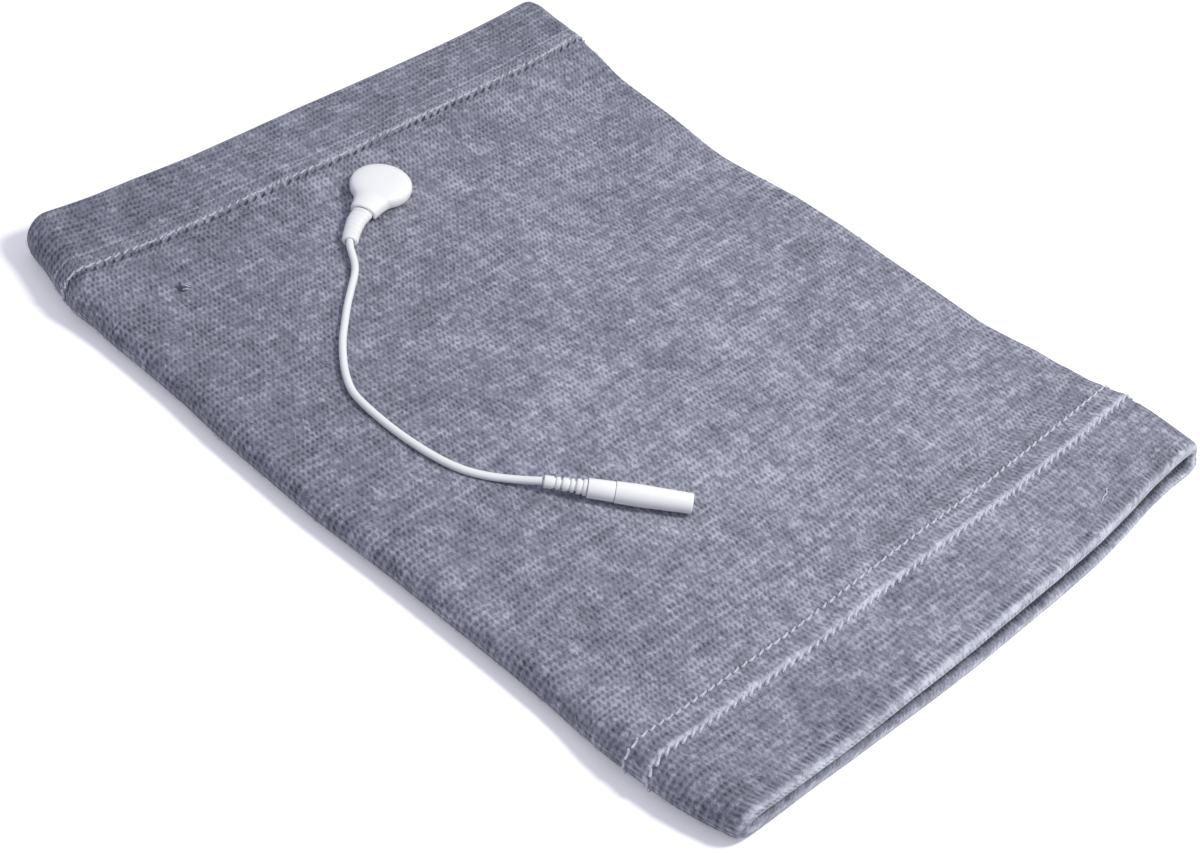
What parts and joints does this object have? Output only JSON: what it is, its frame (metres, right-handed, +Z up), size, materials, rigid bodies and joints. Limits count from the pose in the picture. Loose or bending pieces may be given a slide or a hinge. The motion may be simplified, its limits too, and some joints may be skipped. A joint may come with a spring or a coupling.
{
  "type": "tens electrode sleeve",
  "caption": "Flat-lying knit sleeve that carries nerve-stimulation current to a limb, hemmed at both open ends, with a white snap lead on its top face that ends in a pin socket",
  "frame": {"origin": "middle of the underside of the sleeve, where it lies flat", "axes": "+X runs along the sleeve to the open end nearest the viewer, +Y across it, +Z up from the table"},
  "size_m": [0.2095, 0.1631, 0.0107],
  "materials": {
    "heather_knit": "heather blue-grey weft knit with silver-coated yarn",
    "white_pvc": "soft satin white",
    "white_shell_plastic": "satin white moulding",
    "nickel_plate": "nickel-plated brass",
    "spring_steel": "bright drawn wire",
    "contact_brass": "turned brass",
    "wire_copper": "stranded copper, drawn as one wire"
  },
  "bodies": {
    "root": {"knit_sleeve": "heather_knit", "garment_stud": "nickel_plate", "garment_cap": "nickel_plate", "head_cover": "white_shell_plastic", "head_base": "white_shell_plastic", "snap_cup": "nickel_plate", "snap_spring": "spring_steel", "head_terminal": "nickel_plate", "head_wire_end": "wire_copper", "head_boot": "white_pvc", "lead_cable": "white_pvc", "socket_boot": "white_pvc", "socket_collar": "white_shell_plastic", "socket_shell": "white_shell_plastic", "socket_contact": "contact_brass", "socket_wire_end": "wire_copper"}
  },
  "joints": []
}
